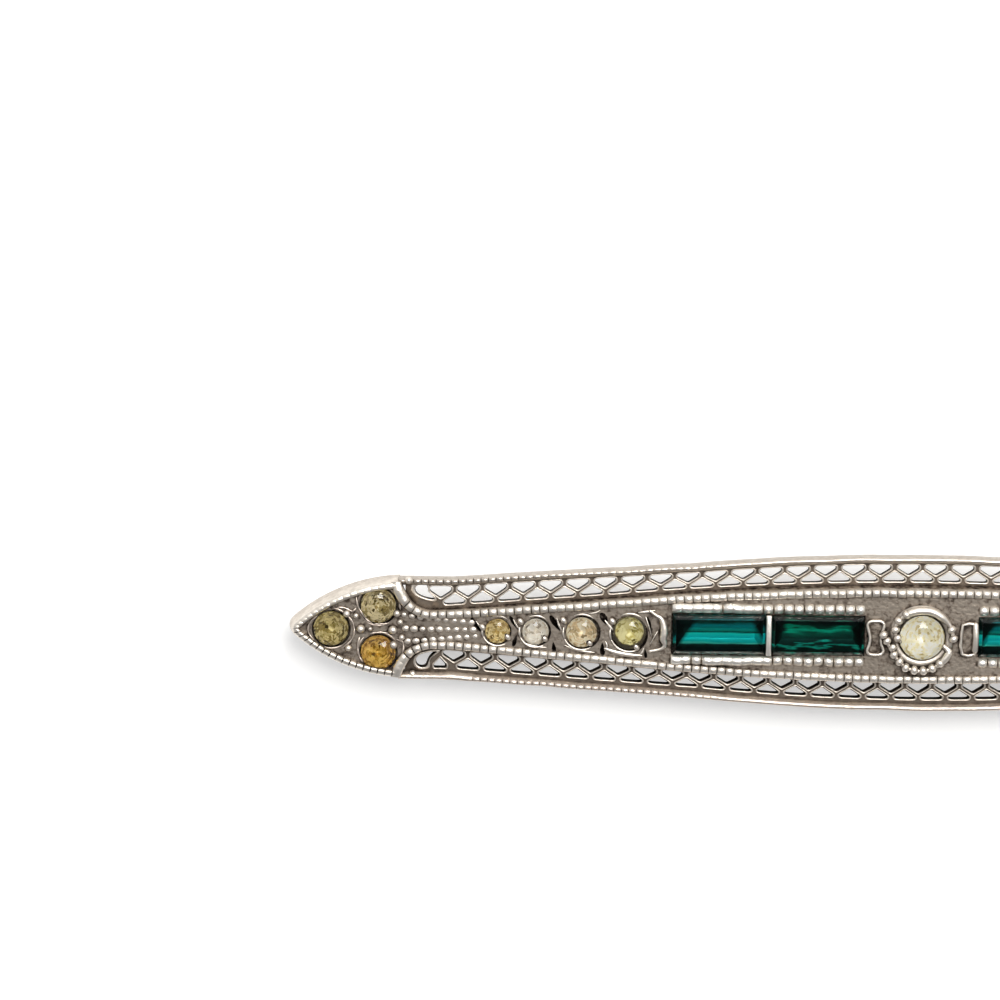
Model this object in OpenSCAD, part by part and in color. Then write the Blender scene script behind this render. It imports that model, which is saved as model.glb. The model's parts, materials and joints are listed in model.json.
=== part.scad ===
// Bar brooch: a cast white-metal openwork bar with leaf-shaped ends, set with
// four green baguettes and fifteen round pastes, and a straight pin on its back.
// Millimetres. +X runs along the bar, +Y across it, +Z out of its face.
// The brooch lies on its hinge and catch at z = 0, under the bar's centre.

/* [Bar] */
// Length of the brooch from tip to tip
bar_length = 76; // [76:0.5:80]
// Half width of the bar at its middle
bar_mid = 4.75; // [4.6:0.05:5]
// Half width of the bar at its necks
bar_neck = 3.12; // [3.05:0.01:3.2]
// Height of the rims above the flat back
rim_height = 1.1; // [1.05:0.05:1.3]

/* [Openwork] */
// Thickness of the pierced net
net_thickness = 0.45; // [0.4:0.01:0.5]
// Length of one cell of the net
cell_pitch = 1.99; // [1.97:0.01:2.01]
// Half width of one opening of the net
opening_half = 0.78; // [0.6:0.01:0.8]

/* [Spine] */
// Half width of the spine's beaded ridge at the middle
spine_mid = 2.65; // [2.6:0.05:2.7]
// Height of the spine's ridges at the necks
spine_low = 1.35; // [1.3:0.05:1.45]
// Height of the spine's ridges at the middle
spine_high = 1.75; // [1.7:0.05:1.8]

/* [Stones] */
// Diameter of the centre stone
centre_dia = 2.7; // [2.6:0.05:2.75]
// Length of one baguette
baguette_length = 5.56; // [5.4:0.01:5.6]
// Width of one baguette
baguette_width = 2.4; // [2.3:0.05:2.45]
// Diameter of the three stones in each leaf
leaf_stone_dia = 2.1; // [2:0.05:2.15]

/* [Pin] */
// Height of the flat back above the surface that the brooch lies on
back_height = 2.2; // [2:0.1:2.6]
// Diameter of the pin's stem
stem_dia = 0.8; // [0.7:0.05:0.9]
// Width of the hinge across the bar
hinge_width = 4.6; // [4:0.1:4.8]

/* [Hidden] */
$fn = 64;
eps = 0.01;
stone_gap = 0.03;       // clearance of a stone in its seat
solder_gap = 0.03;      // clearance of the pin's feet under the back
arc_steps = 256;        // steps of the long outline arcs
half_length = bar_length / 2;

// The bar's outline: a middle arc, a straight taper and a level neck.
bar_arc_r = 143;
bar_taper = 0.068;
bar_taper_x = 13;
bar_taper_y = bar_mid - 0.6;
bar_arc_x = 15;         // the middle arc gives way to the taper before this
bar_level_x = bar_taper_x + (bar_taper_y - bar_neck) / bar_taper;

// The spine's outline, made the same way, and the quarter turn that opens it into a leaf.
// The straight taper starts a little way inside the arc, so that the two overlap.
spine_arc_r = 185;
spine_taper = 0.08;
spine_taper_x = 18.5;
spine_taper_y = spine_mid - spine_taper_x * spine_taper_x / (2 * spine_arc_r);
spine_overlap = 3.5;
spine_neck = 0.93;
spine_level_x = spine_taper_x + (spine_taper_y - spine_neck) / spine_taper;
funnel_x = half_length - 8.7;
funnel_r = 2.25;
funnel_y = spine_neck + funnel_r;
funnel_corner = 0.32;   // the spine ends this far past the quarter turns
neck_end = funnel_x + funnel_r - 0.05;

ridge_half = 0.2;       // half width of a beaded ridge
flank = 0.42;           // from the ridge's middle to the net
rim_width = 0.57;
rim_step = 0.1;         // the rim's crest is this much narrower on each side
rim_step_height = 0.2;
net_bottom = 0.3;       // the net's underside above the flat back
ridge_bead_r = 0.18;
ridge_bead_pitch = 0.49;
rib_bead_r = 0.17;
rib_start = 27;         // the neck's fine rows start this far from the middle
rib_length = 3.6;
rib_spacing = 0.38;
rib_spread = 5.5;       // degrees
turn_bead_step = 13;    // degrees from bead to bead round a quarter turn
bead_steps = 24;

// The leaf's outline: two arcs that meet in a blunt tip.
leaf_x = half_length - 7.2;
leaf_half = 3.18;
leaf_r = 10.5;
leaf_lean = 0.3;        // how far the outer wall leans in over its height
leaf_height = 1.3;
leaf_floor = 0.95;
leaf_border = 0.66;
leaf_end = half_length - 7;
leaf_grain_z = 1;       // height of the middle of the grains between its stones
leaf_bead_r = 0.15;
leaf_bead_in = 0.48;    // from the foot of the outer wall to the row of beads
leaf_bead_turn = 2.57;  // degrees from bead to bead
tip_r = 1.5;
tip_x = half_length - tip_r;

// The settings along the spine, by their distance from the middle.
channel_in = 3.4;
channel_out = 15.02;
divider = 0.32;
rail_y = 1.6;
rail_half = 0.35;
rail_height = 1.75;
rail_bead_r = 0.31;
rail_bead_pitch = 0.64;
collar_in = 1.4;
collar_out = 2;
collar_height = 2;
collar_beads = 20;
collar_bead_r = 0.25;
collar_bead_drop = 0.2; // the collar's beads are centred this far under its top
bracket_x = [2.75, 15.75];
bracket_length = 1.05;
bracket_width = 2;
bracket_edge = 0.2;
bracket_drop = 0.15;    // the brackets end this far under the collar's top
bracket_bite = 1;       // radius of the round bites that waist a bracket
bracket_bite_out = 0.84;
channel_floor = 0.45;
setting_drop = 0.2;     // the spine's floor lies this far under its ridges
centre_floor = 0.6;
row_floor = 0.3;
leaf_seat_floor = 0.15;
seat_cut = 3;
baguette_step = baguette_length + 2 * stone_gap + divider;

// The net's columns on each side of the middle, counted from 0.
last_column = 14;

// One row for each stone of the row: distance from the middle, diameter.
ROW_X = 0;
ROW_DIA = 1;
row_table = [
    [25.44, 1.5],
    [23.16, 1.6],
    [20.40, 1.85],
    [17.52, 2.0]
];

// One row for each stone of a leaf: distance from the middle, height across the bar.
LEAF_X = 0;
LEAF_Y = 1;
leaf_table = [
    [35.46, 0],
    [32.62, 1.44],
    [32.62, -1.44]
];

// One row for each grain that holds a leaf's stones: distance from the middle, height across.
grain_table = [
    [34.30, 1.05],
    [34.30, -1.05],
    [33.72, 0],
    [31.60, 0],
    [31.38, 1.0],
    [31.38, -1.0]
];
grain_r = 0.22;
row_grain_r = 0.2;
row_grain_out = 0.16;   // from the stone's edge to the grain's middle
grain_turn = 25;        // degrees from the bar's line to a row stone's grains

// The half width of the bar and of the spine at a distance x from the middle.
function arc_drop(x, r) = r - sqrt(r * r - x * x);
function bar_y(x) = let(a = abs(x))
    a >= bar_level_x ? bar_neck
    : max(a <= bar_arc_x ? bar_mid - arc_drop(a, bar_arc_r) : 0,
          a >= bar_taper_x ? bar_taper_y - bar_taper * (a - bar_taper_x) : 0);
function spine_y(x) = let(a = abs(x))
    a >= spine_level_x ? spine_neck
    : a <= spine_taper_x ? spine_mid - arc_drop(a, spine_arc_r)
    : spine_taper_y - spine_taper * (a - spine_taper_x);
function ridge_z(x) = spine_high - (spine_high - spine_low) * min(1, abs(x) / funnel_x);

// A point of the net, from its place along the bar and its share of the way from spine to rim.
function net_point(x, share) = let(low = spine_y(x) + flank, high = bar_y(x) - rim_width)
    [x, low + (high - low) * share];

module both_ends() {
    children();
    mirror([1, 0, 0]) children();
}

module both_sides() {
    children();
    mirror([0, 1, 0]) children();
}

// The area under one outline, taken in by inset, above the bar's middle line.
module bar_half(inset) {
    intersection() {
        translate([0, bar_mid - bar_arc_r]) circle(bar_arc_r - inset, $fn = arc_steps);
        translate([-bar_arc_x, 0]) square([2 * bar_arc_x, bar_mid]);
    }
    both_ends() polygon([
        [bar_taper_x, 0],
        [neck_end, 0],
        [neck_end, bar_neck - inset],
        [bar_level_x, bar_neck - inset],
        [bar_taper_x, bar_taper_y - inset]
    ]);
}

module bar_area(inset) {
    both_sides() bar_half(inset);
}

module spine_half(outset) {
    intersection() {
        translate([0, spine_mid - spine_arc_r]) circle(spine_arc_r + outset, $fn = arc_steps);
        translate([-spine_taper_x - 1, 0]) square([2 * spine_taper_x + 2, spine_mid + outset]);
    }
    both_ends() polygon([
        [spine_taper_x - spine_overlap, 0],
        [funnel_x, 0],
        [funnel_x, spine_neck + outset],
        [spine_level_x, spine_neck + outset],
        [spine_taper_x, spine_taper_y + outset],
        [spine_taper_x - spine_overlap, spine_taper_y + outset]
    ]);
    both_ends() difference() {
        translate([funnel_x - eps, 0]) square([funnel_r + funnel_corner, bar_neck]);
        translate([funnel_x, funnel_y]) circle(funnel_r - outset);
    }
}

module spine_area(outset) {
    both_sides() spine_half(outset);
}

// The pointed outline between a leaf's two side arcs, taken in by inset.
module leaf_lens(inset) {
    both_sides() intersection() {
        translate([leaf_x, leaf_half - leaf_r]) circle(leaf_r - inset, $fn = arc_steps);
        translate([leaf_end, -eps]) square([8, leaf_half + eps]);
    }
}

// The points of one opening of the net: its half width and its share of the way to the rim.
rim_side = [[0.84, 0.98], [1, 0.82], [0.8, 0.69], [0.1, 0.42]];
spine_side = [[0.84, 0.1], [1, 0.28], [0.7, 0.46], [0.14, 0.69]];

// One opening with the given right-hand points, mirrored to its left.
module opening(x, points) {
    polygon([
        for (p = points) net_point(x + p[0] * opening_half, p[1]),
        for (i = [len(points) - 1:-1:0]) net_point(x - points[i][0] * opening_half, points[i][1])
    ]);
}

// The slanting open end of a net, beside the leaf: places past the funnel's start, and shares.
end_points = [[1.32, 0.8], [1.2, 0.95], [0.5, 0.95], [0.42, 0.6], [0.05, 0.3], [0.1, 0.15], [0.9, 0.38]];

module end_opening() {
    polygon([for (p = end_points) net_point(funnel_x + p[0], p[1])]);
}

// A solid under two planes that rise towards the middle of the bar.
module under_roof(low, high) {
    intersection() {
        linear_extrude(high + 1) children();
        rotate([90, 0, 0]) linear_extrude(12, center = true) polygon([
            [-half_length, 0],
            [half_length, 0],
            [half_length, low],
            [funnel_x, low],
            [0, high],
            [-funnel_x, low],
            [-half_length, low]
        ]);
    }
}

// The thin pierced nets between the spine and the rims.
module nets() {
    translate([0, 0, net_bottom]) linear_extrude(net_thickness) difference() {
        bar_area(rim_width / 2);
        both_sides() {
            opening(0, spine_side);
            both_ends() {
                for (i = [1:last_column]) opening(i * cell_pitch, spine_side);
                for (i = [0:last_column]) opening((i + 0.5) * cell_pitch, rim_side);
                end_opening();
            }
        }
    }
}

// The rims, with a narrower crest.
module rims() {
    for (level = [[rim_height - rim_step_height, 0], [rim_height, rim_step]])
        linear_extrude(level[0]) both_sides() difference() {
            bar_half(level[1]);
            bar_half(rim_width - level[1]);
            translate([-half_length, -eps]) square([bar_length, 1]);
        }
}

// The solid foot of the spine, under its ridges and beside them.
module spine_foot() {
    linear_extrude(net_bottom + net_thickness) spine_area(flank);
}

module spine_block() {
    under_roof(spine_low - setting_drop, spine_high - setting_drop) spine_area(ridge_half);
}

module spine_ridges() {
    under_roof(spine_low, spine_high) difference() {
        spine_area(ridge_half);
        spine_area(-ridge_half);
    }
}

// The rows of beads on the ridges, round the quarter turns too.
module ridge_beads() {
    reach = funnel_x - ridge_bead_pitch / 2;
    both_sides() for (x = [-floor(reach / ridge_bead_pitch):floor(reach / ridge_bead_pitch)])
        translate([x * ridge_bead_pitch, spine_y(x * ridge_bead_pitch), ridge_z(x * ridge_bead_pitch)])
            sphere(ridge_bead_r, $fn = bead_steps);
    both_ends() both_sides() for (turn = [turn_bead_step / 2:turn_bead_step:60])
        translate([funnel_x + funnel_r * sin(turn), funnel_y - funnel_r * cos(turn), spine_low])
            sphere(ridge_bead_r, $fn = bead_steps);
}

// The leaning walls of both sides of a leaf and of its blunt tip.
module leaf_walls() {
    intersection() {
        intersection_for (side = [-1, 1])
            translate([leaf_x, side * (leaf_half - leaf_r), 0])
                cylinder(h = leaf_height, r1 = leaf_r, r2 = leaf_r - leaf_lean, $fn = arc_steps);
        union() {
            translate([leaf_end, -leaf_half - 1, -eps])
                cube([tip_x + 0.5 - leaf_end, 2 * leaf_half + 2, leaf_height + 1]);
            translate([tip_x, 0, 0]) cylinder(h = leaf_height, r1 = tip_r, r2 = tip_r - leaf_lean);
        }
    }
}

// A leaf with walls that lean in, a raised border and a sunk field, cut back to the ridges.
module leaf() {
    difference() {
        leaf_walls();
        translate([0, 0, leaf_floor]) linear_extrude(1) leaf_lens(leaf_border);
        both_sides() translate([funnel_x, funnel_y, -1]) cylinder(h = 4, r = funnel_r);
    }
}

// The rows of beads on the leaves' borders.
module leaf_beads() {
    row_r = leaf_r - leaf_bead_in;
    both_ends() both_sides() for (turn = [6.5:leaf_bead_turn:38])
        translate([leaf_x + row_r * sin(turn), leaf_half - leaf_r + row_r * cos(turn), leaf_height])
            sphere(leaf_bead_r, $fn = bead_steps);
}

// The three fine rows of beads in each neck, spreading towards the leaf.
module neck_ribs() {
    both_ends() for (side = [-1, 0, 1])
        translate([rib_start, side * rib_spacing, spine_low - setting_drop]) rotate(side * rib_spread)
            for (x = [0:ridge_bead_pitch:rib_length])
                translate([x, 0, 0]) sphere(rib_bead_r, $fn = bead_steps);
}

// The two beaded rails that hold the baguettes.
module channel_rails() {
    both_ends() both_sides() {
        translate([channel_in, rail_y - rail_half, channel_floor])
            cube([channel_out - channel_in, 2 * rail_half, rail_height - channel_floor]);
        for (x = [channel_in + 0.4:rail_bead_pitch:channel_out - 0.3])
            translate([x, rail_y, rail_height]) sphere(rail_bead_r, $fn = bead_steps);
    }
}

// The outline of an hourglass, waisted by two round bites, taken in by inset.
module hourglass(inset) {
    length = bracket_length - 2 * inset;
    scaled = (bracket_width - 2 * inset) / bracket_width;
    difference() {
        square([length, bracket_width - 2 * inset], center = true);
        both_ends() translate([length / 2 + bracket_bite_out * scaled, 0]) circle(bracket_bite * scaled);
    }
}

// A bracket shaped like an hourglass, with a raised edge round a sunk middle.
module bracket() {
    top = collar_height - bracket_drop;
    difference() {
        linear_extrude(top) hourglass(0);
        translate([0, 0, top - bracket_edge]) linear_extrude(seat_cut) hourglass(bracket_edge);
    }
}

// The beaded collar round the centre stone.
module collar() {
    top = collar_height - collar_bead_drop;
    cylinder(h = top, r = collar_out);
    for (i = [0:collar_beads - 1])
        rotate(i * 360 / collar_beads)
            translate([(collar_in + collar_out) / 2, 0, top]) sphere(collar_bead_r, $fn = bead_steps);
}

// The grains raised beside each round stone.
module grains() {
    both_ends() {
        for (g = grain_table)
            translate([g[LEAF_X], g[LEAF_Y], leaf_grain_z]) sphere(grain_r, $fn = bead_steps);
        for (stone = row_table) for (side = [-1, 1]) {
            reach = side * (stone[ROW_DIA] / 2 + row_grain_out);
            translate([
                stone[ROW_X] + reach * cos(grain_turn),
                reach * sin(grain_turn),
                ridge_z(stone[ROW_X]) - setting_drop
            ]) sphere(row_grain_r, $fn = bead_steps);
        }
    }
}

// The seats that are cut for the stones. Each leaves a floor under its stone.
module seats() {
    translate([0, 0, centre_floor]) cylinder(h = seat_cut, r = centre_dia / 2 + stone_gap);
    both_ends() {
        for (stone = row_table)
            translate([stone[ROW_X], 0, row_floor])
                cylinder(h = seat_cut, r = stone[ROW_DIA] / 2 + stone_gap);
        for (stone = leaf_table)
            translate([stone[LEAF_X], stone[LEAF_Y], leaf_seat_floor])
                cylinder(h = seat_cut, r = leaf_stone_dia / 2 + stone_gap);
        for (x = [channel_in, channel_in + baguette_step])
            translate([x, -baguette_width / 2 - stone_gap, channel_floor])
                cube([baguette_length + 2 * stone_gap, baguette_width + 2 * stone_gap, seat_cut]);
    }
}

module openwork_frame() {
    color("silver") translate([0, 0, back_height]) difference() {
        union() {
            nets();
            rims();
            spine_foot();
            spine_block();
            spine_ridges();
            ridge_beads();
            both_ends() leaf();
            leaf_beads();
            neck_ribs();
            channel_rails();
            both_ends() for (x = bracket_x) translate([x, 0, 0]) bracket();
            collar();
            grains();
        }
        seats();
    }
}

// A round stone: eight-sided table, eight crown facets, girdle and pavilion.
module round_stone(dia, crown) {
    hull() {
        translate([0, 0, crown - eps]) rotate(22.5) cylinder(h = eps, r = dia * 0.29, $fn = 8);
        translate([0, 0, crown * 0.45]) cylinder(h = eps, r = dia * 0.43, $fn = 8);
        cylinder(h = 0.06, r = dia / 2, $fn = 16, center = true);
        translate([0, 0, -dia * 0.38]) cylinder(h = eps, r = dia * 0.08, $fn = 8);
    }
}

// A baguette: long table, two steps down to the girdle, two steps down to the keel.
module baguette() {
    long = baguette_length;
    wide = baguette_width;
    hull() {
        for (step = [[0.25, 0.35], [0.12, 0.22], [0, 0.05], [0, -0.05], [0.35, -0.5], [0.95, -0.85]])
            translate([0, 0, step[1]])
                cube([long - 2 * step[0], wide - 2 * step[0], eps], center = true);
    }
}

module centre_stone() {
    color("lightyellow") translate([0, 0, back_height + 1.85]) round_stone(centre_dia, 0.45);
}

module baguette_at(side, slot) {
    x = channel_in + stone_gap + baguette_length / 2 + slot * baguette_step;
    color("teal") translate([side * x, 0, back_height + 1.5]) baguette();
}

module row_stone(side, i) {
    stone = row_table[i];
    color("khaki") translate([
        side * stone[ROW_X], 0, back_height + ridge_z(stone[ROW_X]) - setting_drop + 0.05
    ]) round_stone(stone[ROW_DIA], stone[ROW_DIA] * 0.16);
}

module leaf_stone(side, i) {
    color("darkkhaki") translate([
        side * leaf_table[i][LEAF_X], leaf_table[i][LEAF_Y], back_height + leaf_floor + 0.08
    ]) round_stone(leaf_stone_dia, 0.34);
}

// The plain back: a hinge block at the right, a straight stem and a round catch at the left.
hinge_x = 32.6;
catch_x = -31.6;
pin_z = 0.9;
foot_r = 1;
foot_top = back_height - solder_gap;
plate_length = 2.4;     // the two plates that are soldered to the back
plate_thickness = 0.4;
catch_plate_width = 2.6;
hinge_web = 1.4;        // the upright wall between the hinge's knuckle and its plate
catch_length = 1.8;
catch_web = 0.7;
catch_web_y = -0.9;     // the catch's wall stands behind its mouth
catch_web_z = 0.6;      // and starts this far above the pin's middle
mouth = 0.6;            // the gap that the wire enters the catch by
mouth_top = 0.15;
stem_past_catch = 1.4;  // the straight stem ends this far past the catch's middle
point_length = 1.8;
point_r = 0.08;

// Keeps what lies above the surface.
module above_surface() {
    intersection() {
        children();
        translate([-half_length, -bar_mid, 0]) cube([bar_length, 2 * bar_mid, back_height]);
    }
}

module hinge() {
    above_surface() translate([hinge_x, 0, pin_z]) rotate([90, 0, 0])
        cylinder(h = hinge_width, r = foot_r, center = true);
    translate([hinge_x - hinge_web / 2, -hinge_width / 2, pin_z])
        cube([hinge_web, hinge_width, foot_top - pin_z]);
    translate([hinge_x - plate_length / 2, -hinge_width / 2, foot_top - plate_thickness])
        cube([plate_length, hinge_width, plate_thickness]);
}

module catch() {
    above_surface() translate([catch_x, 0, pin_z]) rotate([0, 90, 0]) difference() {
        cylinder(h = catch_length, r = foot_r, center = true);
        translate([-mouth_top, 0, -catch_length]) cube([mouth, 2 * foot_r, 2 * catch_length]);
    }
    translate([catch_x - catch_length / 2, catch_web_y, pin_z + catch_web_z])
        cube([catch_length, catch_web, foot_top - pin_z - catch_web_z]);
    translate([catch_x - plate_length / 2, -catch_plate_width / 2, foot_top - plate_thickness])
        cube([plate_length, catch_plate_width, plate_thickness]);
}

module stem() {
    stem_start = catch_x - stem_past_catch;
    translate([stem_start, 0, pin_z]) rotate([0, 90, 0])
        cylinder(h = hinge_x - stem_start, r = stem_dia / 2);
    translate([stem_start - point_length, 0, pin_z]) rotate([0, 90, 0])
        cylinder(h = point_length, r1 = point_r, r2 = stem_dia / 2);
}

module pin_and_catch() {
    color("gainsboro") {
        hinge();
        catch();
        stem();
    }
}

openwork_frame();
pin_and_catch();
centre_stone();
baguette_at(-1, 1);  // baguette_left_outer
baguette_at(-1, 0);  // baguette_left_inner
baguette_at(1, 0);  // baguette_right_inner
baguette_at(1, 1);  // baguette_right_outer
for (i = [0:3]) {
    row_stone(-1, i);
    row_stone(1, i);
}
leaf_names = ["tip", "upper", "lower"];
for (i = [0:2]) {
    leaf_stone(-1, i);
    leaf_stone(1, i);
}
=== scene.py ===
import json
import math
import random

import bmesh
import bpy
from mathutils import Matrix, Vector, noise


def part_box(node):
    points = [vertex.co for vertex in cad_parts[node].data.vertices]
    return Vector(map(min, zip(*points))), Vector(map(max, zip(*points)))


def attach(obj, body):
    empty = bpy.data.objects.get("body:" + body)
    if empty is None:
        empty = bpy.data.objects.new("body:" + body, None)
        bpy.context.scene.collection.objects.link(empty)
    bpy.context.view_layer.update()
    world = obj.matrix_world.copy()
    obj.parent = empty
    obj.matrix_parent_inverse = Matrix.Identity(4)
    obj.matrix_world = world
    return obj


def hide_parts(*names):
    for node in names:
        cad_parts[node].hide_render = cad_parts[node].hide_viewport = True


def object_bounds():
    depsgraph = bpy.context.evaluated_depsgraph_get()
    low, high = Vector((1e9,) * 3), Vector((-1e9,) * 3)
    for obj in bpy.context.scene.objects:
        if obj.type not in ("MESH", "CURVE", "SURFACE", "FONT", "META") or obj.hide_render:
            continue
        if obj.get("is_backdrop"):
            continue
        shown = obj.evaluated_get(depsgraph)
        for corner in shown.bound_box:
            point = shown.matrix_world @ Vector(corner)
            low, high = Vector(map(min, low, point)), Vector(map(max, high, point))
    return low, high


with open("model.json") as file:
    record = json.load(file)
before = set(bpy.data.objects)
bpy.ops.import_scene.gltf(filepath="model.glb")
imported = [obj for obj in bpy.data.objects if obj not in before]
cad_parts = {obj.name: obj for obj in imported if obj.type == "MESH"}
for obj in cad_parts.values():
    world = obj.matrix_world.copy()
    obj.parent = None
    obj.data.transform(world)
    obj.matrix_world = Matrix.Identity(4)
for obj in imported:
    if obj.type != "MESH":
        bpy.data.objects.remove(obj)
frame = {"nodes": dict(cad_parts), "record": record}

cad_low, cad_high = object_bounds()

# Camera: it looks down on the face of the brooch, a little from the side of its upper rim.
# The left half fills the lower right of the picture, and the right half runs out of it.
MM = 0.001
scene = bpy.context.scene
view_tilt = math.radians(11)
view_roll = math.radians(0.63)
view_distance = 220 * MM
view_middle = Vector((-25.38, 8.03, 3.5)) * MM
camera_data = bpy.data.cameras.new("camera")
camera_data.lens = 132.8
camera_data.clip_start = 1 * MM
camera = bpy.data.objects.new("camera", camera_data)
scene.collection.objects.link(camera)
camera.matrix_world = (
    Matrix.Translation(view_middle)
    @ Matrix.Rotation(-view_tilt, 4, "X")
    @ Matrix.Rotation(view_roll, 4, "Z")
    @ Matrix.Translation((0, 0, view_distance))
)
scene.camera = camera
scene.view_settings.view_transform = "Standard"


# Studio: a white paper floor under one soft light, which stands behind the upper rim.
# The rest of the light comes from the pale room and from the paper, which is lit from below. The
# room is darker on the side of the lower rim, and overhead, where its ceiling lamp is off.
def linear(code):
    """A colour from its sRGB hex code."""
    parts = [int(code[i : i + 2], 16) / 255 for i in (0, 2, 4)]
    return (*[c / 12.92 if c <= 0.04045 else ((c + 0.055) / 1.055) ** 2.4 for c in parts], 1)


def add_node(tree, kind, inputs=None, **settings):
    """Adds a shader node with its settings. An input is linked where it is a socket, or a node,
    which stands for its first output."""
    node = tree.nodes.new("ShaderNode" + kind)
    for name, value in settings.items():
        setattr(node, name, value)
    for name, value in (inputs or {}).items():
        value = value.outputs[0] if isinstance(value, bpy.types.Node) else value
        if isinstance(value, bpy.types.NodeSocket):
            tree.links.new(value, node.inputs[name])
        else:
            node.inputs[name].default_value = value
    return node


def set_ramp(node, stops):
    """Gives a colour ramp its stops, from low to high: places and sRGB hex codes."""
    ramp = node.color_ramp.elements
    for stop, (position, code) in zip(ramp, (stops[0], stops[-1])):
        stop.position, stop.color = position, linear(code)
    for position, code in stops[1:-1]:
        ramp.new(position).color = linear(code)


def new_material(name):
    """An empty material and its node tree."""
    material = bpy.data.materials.new(name)
    material.use_nodes = True
    material.node_tree.nodes.clear()
    return material, material.node_tree


light_data = bpy.data.lights.new("key_light", "AREA")
light_data.size = 190 * MM
light_data.energy = 1.15
light_data.color = linear("fffdf8")[:3]
light = bpy.data.objects.new("key_light", light_data)
scene.collection.objects.link(light)
light.location = Vector((50, 165, 290)) * MM
light.rotation_euler = (-light.location).to_track_quat("-Z", "Y").to_euler()
room = bpy.data.worlds.new("room")
scene.world = room
room.use_nodes = True
room.node_tree.nodes.clear()
tree = room.node_tree
direction = add_node(tree, "TexCoord").outputs["Generated"]
split = add_node(tree, "SeparateXYZ", {"Vector": direction})
side = add_node(tree, "MapRange", {"Value": split.outputs["Y"], "From Min": -0.8, "From Max": 0.5})
walls = add_node(tree, "ValToRGB", {"Fac": side})
set_ramp(walls, [(0, "9a9a9d"), (1, "ffffff")])
ceiling = (0, -0.19, 0.98)
overhead = add_node(tree, "VectorMath", {0: direction, 1: ceiling}, operation="DOT_PRODUCT")
shade = add_node(
    tree,
    "MapRange",
    {"Value": overhead.outputs["Value"], "From Min": 0.93, "From Max": 0.985, "To Min": 0.66, "To Max": 0.05},
    interpolation_type="SMOOTHSTEP",
)
glow = add_node(tree, "Background", {"Color": walls, "Strength": shade})
add_node(tree, "OutputWorld", {"Surface": glow})

bpy.ops.mesh.primitive_plane_add(size=1200 * MM)
floor = bpy.context.object
floor.name = "floor"
paper, tree = new_material("matt_white_paper_lit_from_below")
place = add_node(tree, "TexCoord").outputs["Object"]
grain = add_node(tree, "TexNoise", {"Vector": place, "Scale": 1 / (3 * MM), "Detail": 4})
tone = add_node(tree, "ValToRGB", {"Fac": grain})
set_ramp(tone, [(0, "dcddde"), (1, "dfdfdf")])
surface = {"Base Color": tone, "Roughness": 0.8, "Emission Color": linear("ffffff"), "Emission Strength": 0.4}
add_node(tree, "OutputMaterial", {"Surface": add_node(tree, "BsdfPrincipled", surface)})
floor.data.materials.append(paper)
floor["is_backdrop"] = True


# Rims: the two long edges of the casting, rounded bars with a row of fine graver cuts on the crest.
# Cast white metal, rubbed smooth along the middle of the lower edge and dark in its recesses.
def white_metal(name, light, middle, dark, wall, reach, mottle, roughness, relief=0.03):
    """Cast white metal. It is pale where rubbed, and brown to black where dirt and tarnish stay:
    in hollows narrower than about reach mm, and on side walls, which keep wall of their light.
    Mottle is how strongly its patches of about a third of a millimetre differ, and relief is the
    height of its cast skin in mm."""
    material, tree = new_material(name)
    place = add_node(tree, "TexCoord").outputs["Object"]
    hollow = add_node(tree, "AmbientOcclusion", {"Distance": reach * MM}, samples=6).outputs["AO"]
    facing = add_node(tree, "NewGeometry").outputs["Normal"]
    upright = add_node(tree, "SeparateXYZ", {"Vector": facing}).outputs["Z"]
    level = add_node(tree, "Math", {0: upright}, operation="ABSOLUTE")
    kept = {"From Min": 0.15, "From Max": 0.8, "To Min": wall, "To Max": 1}
    rubbed = add_node(tree, "MapRange", {"Value": level, **kept})
    open_to_wear = add_node(tree, "Math", {0: hollow, 1: rubbed}, operation="MULTIPLY")
    patches = {"Vector": place, "Scale": 1 / (0.35 * MM), "Detail": 4, "Roughness": 0.6}
    stains = add_node(tree, "TexNoise", patches)
    shifted = add_node(tree, "MapRange", {"Value": stains, "To Min": -mottle, "To Max": mottle})
    worn = add_node(tree, "Math", {0: open_to_wear, 1: shifted}, operation="ADD")
    tint = add_node(tree, "ValToRGB", {"Fac": worn})
    set_ramp(tint, [(0.22, dark), (0.55, middle), (0.95, light)])
    dull = add_node(tree, "MapRange", {"Value": worn, "From Min": 0.2, "To Min": 0.62, "To Max": roughness})
    skin = add_node(tree, "TexNoise", {"Vector": place, "Scale": 1 / (0.22 * MM), "Detail": 3})
    bump = add_node(tree, "Bump", {"Height": skin, "Strength": 0.8, "Distance": relief * MM})
    surface = {"Base Color": tint, "Metallic": 1, "Roughness": dull, "Normal": bump}
    add_node(tree, "OutputMaterial", {"Surface": add_node(tree, "BsdfPrincipled", surface)})
    return material


def add_piece(bm, name, materials, sharp=40, stands_for="openwork_frame"):
    """Makes a finished piece from a mesh in millimetres and seats it on the casting's back."""
    bmesh.ops.remove_doubles(bm, verts=bm.verts, dist=0.0005)
    bmesh.ops.recalc_face_normals(bm, faces=bm.faces)
    for face in bm.faces:
        face.smooth = True
    for edge in bm.edges:
        edge.smooth = not edge.is_manifold or edge.calc_face_angle(0) < math.radians(sharp)
    bmesh.ops.scale(bm, vec=(MM, MM, MM), verts=bm.verts)
    bmesh.ops.translate(bm, vec=(0, 0, back_z), verts=bm.verts)
    mesh = bpy.data.meshes.new(name)
    bm.to_mesh(mesh)
    bm.free()
    for material in materials:
        mesh.materials.append(material)
    piece = bpy.data.objects.new(name, mesh)
    scene.collection.objects.link(piece)
    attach(piece, "root")
    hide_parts(stands_for)
    return piece


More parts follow.
